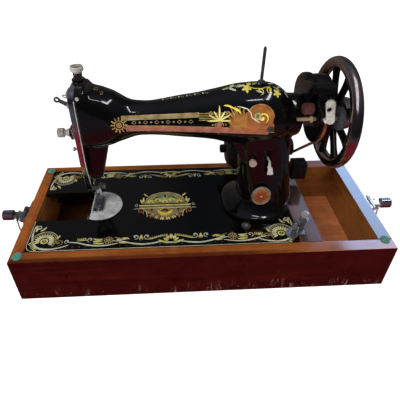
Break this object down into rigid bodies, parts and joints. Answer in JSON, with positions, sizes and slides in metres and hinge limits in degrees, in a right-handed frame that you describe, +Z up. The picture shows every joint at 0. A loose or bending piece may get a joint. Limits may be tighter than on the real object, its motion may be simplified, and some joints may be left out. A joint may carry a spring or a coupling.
{
  "type": "sewing machine",
  "caption": "Vintage black lockstitch sewing machine with spoked handwheel, bobbin winder and belt motor, hinged in a shallow wooden base with a side compartment.",
  "frame": {"origin": "centre of the wooden base's underside", "axes": "+X along the arm towards the handwheel, +Y away from the operator, +Z up"},
  "size_m": [0.593, 0.2232, 0.312],
  "materials": {
    "mahogany": "glossy dark red-brown polish",
    "ply": "lightly varnished orange-brown wood",
    "japan": "deep gloss black japanning over cast iron, with gilt ornament",
    "chrome": "polished plating",
    "nickel": "satin nickel plating, a little dulled",
    "steel": "ground and polished steel",
    "brass": "lacquered, aged",
    "bakelite": "glossy black",
    "rubber": "matt grey, worn",
    "leather": "oiled orange-brown round belt"
  },
  "bodies": {
    "base": {"front_board": "mahogany", "back_board": "mahogany", "left_board": "mahogany", "right_board": "mahogany", "divider_board": "mahogany", "bottom_board": "ply", "front_ledge": "ply", "latch_plate_left": "nickel", "latch_plate_right": "nickel", "base_hinge_left": "brass", "base_hinge_right": "brass"},
    "latch_arm_left": {"latch_arm_left": "nickel"},
    "latch_knob_left": {"latch_knob_left": "chrome"},
    "latch_bail_left": {"latch_bail_left": "steel"},
    "latch_arm_right": {"latch_arm_right": "nickel"},
    "latch_knob_right": {"latch_knob_right": "chrome"},
    "latch_bail_right": {"latch_bail_right": "steel"},
    "head": {"bed_hinge_left": "brass", "bed_hinge_right": "brass", "bed": "japan", "needle_plate": "steel", "hook_race": "steel", "bobbin_case": "steel", "arm": "japan", "face_plate": "chrome", "tension_discs": "chrome", "motor_housing": "bakelite", "motor_bracket": "japan", "drive_belt": "leather", "terminal_block": "bakelite", "medallion": "brass", "spool_pin": "steel", "bed_stud": "chrome", "winder_bracket": "japan", "winding_tension": "nickel"},
    "wheel": {"handwheel": "chrome", "arm_shaft": "steel", "needle_bar_crank": "steel"},
    "clutch_knob": {"clutch_knob": "chrome"},
    "motor_pulley": {"motor_pulley": "steel"},
    "needle_bar": {"needle_bar": "chrome", "needle_clamp": "nickel", "needle": "steel"},
    "take_up_lever": {"take_up_lever": "chrome"},
    "hook": {"hook": "chrome", "hook_shaft": "steel"},
    "feed_dog": {"feed_dog": "steel"},
    "presser": {"presser_bar": "chrome", "presser_foot": "chrome"},
    "presser_lifter": {"presser_lifter": "chrome"},
    "pressure_screw": {"pressure_screw": "chrome"},
    "tension_nut": {"tension_nut": "nickel"},
    "stitch_lever": {"stitch_lever": "nickel"},
    "stitch_stop_screw": {"stitch_stop_screw": "brass"},
    "winder_frame": {"winder_frame": "japan", "winder_cam": "chrome"},
    "winder_spindle": {"winder_spindle": "nickel", "winder_tyre": "rubber"},
    "winder_latch": {"winder_latch": "nickel"},
    "winding_tension_nut": {"winding_tension_nut": "nickel"}
  },
  "joints": [
    {"name": "head_tilt", "type": "hinge", "parent": "base", "child": "head", "pos_m": [0, 0.0925, 0.075], "axis": [-1, 0, 0], "range_deg": [0, 50]},
    {"name": "latch_arm_left", "type": "hinge", "parent": "base", "child": "latch_arm_left", "pos_m": [-0.265, -0.004, 0.068], "axis": [0, 1, 0], "range_deg": [0, 90]},
    {"name": "latch_knob_left", "type": "hinge", "parent": "latch_arm_left", "child": "latch_knob_left", "pos_m": [-0.288, -0.004, 0.067], "axis": [-1, 0, 0], "range_deg": [-180, 180]},
    {"name": "latch_bail_left", "type": "hinge", "parent": "latch_arm_left", "child": "latch_bail_left", "pos_m": [-0.2745, -0.004, 0.067], "axis": [0, 1, 0], "range_deg": [-12, 40]},
    {"name": "latch_arm_right", "type": "hinge", "parent": "base", "child": "latch_arm_right", "pos_m": [0.265, -0.004, 0.068], "axis": [0, -1, 0], "range_deg": [0, 90]},
    {"name": "latch_knob_right", "type": "hinge", "parent": "latch_arm_right", "child": "latch_knob_right", "pos_m": [0.288, -0.004, 0.067], "axis": [1, 0, 0], "range_deg": [-180, 180]},
    {"name": "latch_bail_right", "type": "hinge", "parent": "latch_arm_right", "child": "latch_bail_right", "pos_m": [0.2745, -0.004, 0.067], "axis": [0, -1, 0], "range_deg": [-12, 40]},
    {"name": "handwheel_spin", "type": "hinge", "parent": "head", "child": "wheel", "pos_m": [0.1724, 0.0024, 0.2224], "axis": [1, 0, 0], "continuous": true},
    {"name": "clutch_knob", "type": "hinge", "parent": "wheel", "child": "clutch_knob", "pos_m": [0.187, 0.0024, 0.2224], "axis": [1, 0, 0], "range_deg": [0, 180]},
    {"name": "motor_pulley_spin", "type": "hinge", "parent": "head", "child": "motor_pulley", "pos_m": [0.15, 0.085, 0.118], "axis": [1, 0, 0], "continuous": true},
    {"name": "needle_bar_travel", "type": "slide", "parent": "head", "child": "needle_bar", "axis": [0, 0, -1], "range_m": [0, 0.0275]},
    {"name": "take_up_lever", "type": "hinge", "parent": "head", "child": "take_up_lever", "pos_m": [-0.146, -0.011, 0.238], "axis": [0, -1, 0], "range_deg": [0, 45]},
    {"name": "hook_turn", "type": "hinge", "parent": "head", "child": "hook", "pos_m": [-0.155, 0.0024, 0.044], "axis": [1, 0, 0], "range_deg": [0, 200]},
    {"name": "feed_travel", "type": "slide", "parent": "head", "child": "feed_dog", "axis": [0, -1, 0], "range_m": [0, 0.002]},
    {"name": "presser_lifter", "type": "hinge", "parent": "head", "child": "presser_lifter", "pos_m": [-0.1455, 0.024, 0.152], "axis": [0, -1, 0], "range_deg": [0, 70]},
    {"name": "presser_lift", "type": "slide", "parent": "head", "child": "presser", "axis": [0, 0, 1], "range_m": [0, 0.0055]},
    {"name": "pressure_screw", "type": "hinge", "parent": "head", "child": "pressure_screw", "pos_m": [-0.1535, 0.013, 0.272], "axis": [0, 0, 1], "range_deg": [-180, 180]},
    {"name": "tension_nut", "type": "hinge", "parent": "head", "child": "tension_nut", "pos_m": [-0.184, 0.002, 0.203], "axis": [1, 0, 0], "range_deg": [-180, 180]},
    {"name": "stitch_lever", "type": "hinge", "parent": "head", "child": "stitch_lever", "pos_m": [0.0857, -0.003, 0.17], "axis": [-1, 0, 0], "range_deg": [0, 20]},
    {"name": "stitch_stop_screw", "type": "hinge", "parent": "head", "child": "stitch_stop_screw", "pos_m": [0.0645, -0.031, 0.17], "axis": [0, 1, 0], "range_deg": [-180, 180]},
    {"name": "winder_swing", "type": "hinge", "parent": "head", "child": "winder_frame", "pos_m": [0.141, -0.024, 0.268], "axis": [1, 0, 0], "range_deg": [-10, 3]},
    {"name": "winder_spin", "type": "hinge", "parent": "winder_frame", "child": "winder_spindle", "pos_m": [0.14, -0.038, 0.2366], "axis": [1, 0, 0], "continuous": true},
    {"name": "winder_latch", "type": "hinge", "parent": "winder_frame", "child": "winder_latch", "pos_m": [0.139, -0.048, 0.239], "axis": [0, 1, 0], "range_deg": [-20, 20]},
    {"name": "winding_tension_nut", "type": "hinge", "parent": "head", "child": "winding_tension_nut", "pos_m": [0.137, -0.063, 0.1032], "axis": [0, 0, 1], "range_deg": [-180, 180]}
  ],
  "couplings": [
    {"joint": "motor_pulley_spin", "follows": "handwheel_spin", "ratio": 2.9333},
    {"joint": "take_up_lever", "follows": "needle_bar_travel", "rad_per_m": 28},
    {"joint": "hook_turn", "follows": "needle_bar_travel", "rad_per_m": 124},
    {"joint": "feed_travel", "follows": "needle_bar_travel", "ratio": 0.071},
    {"joint": "presser_lifter", "follows": "presser_lift", "rad_per_m": 222}
  ]
}
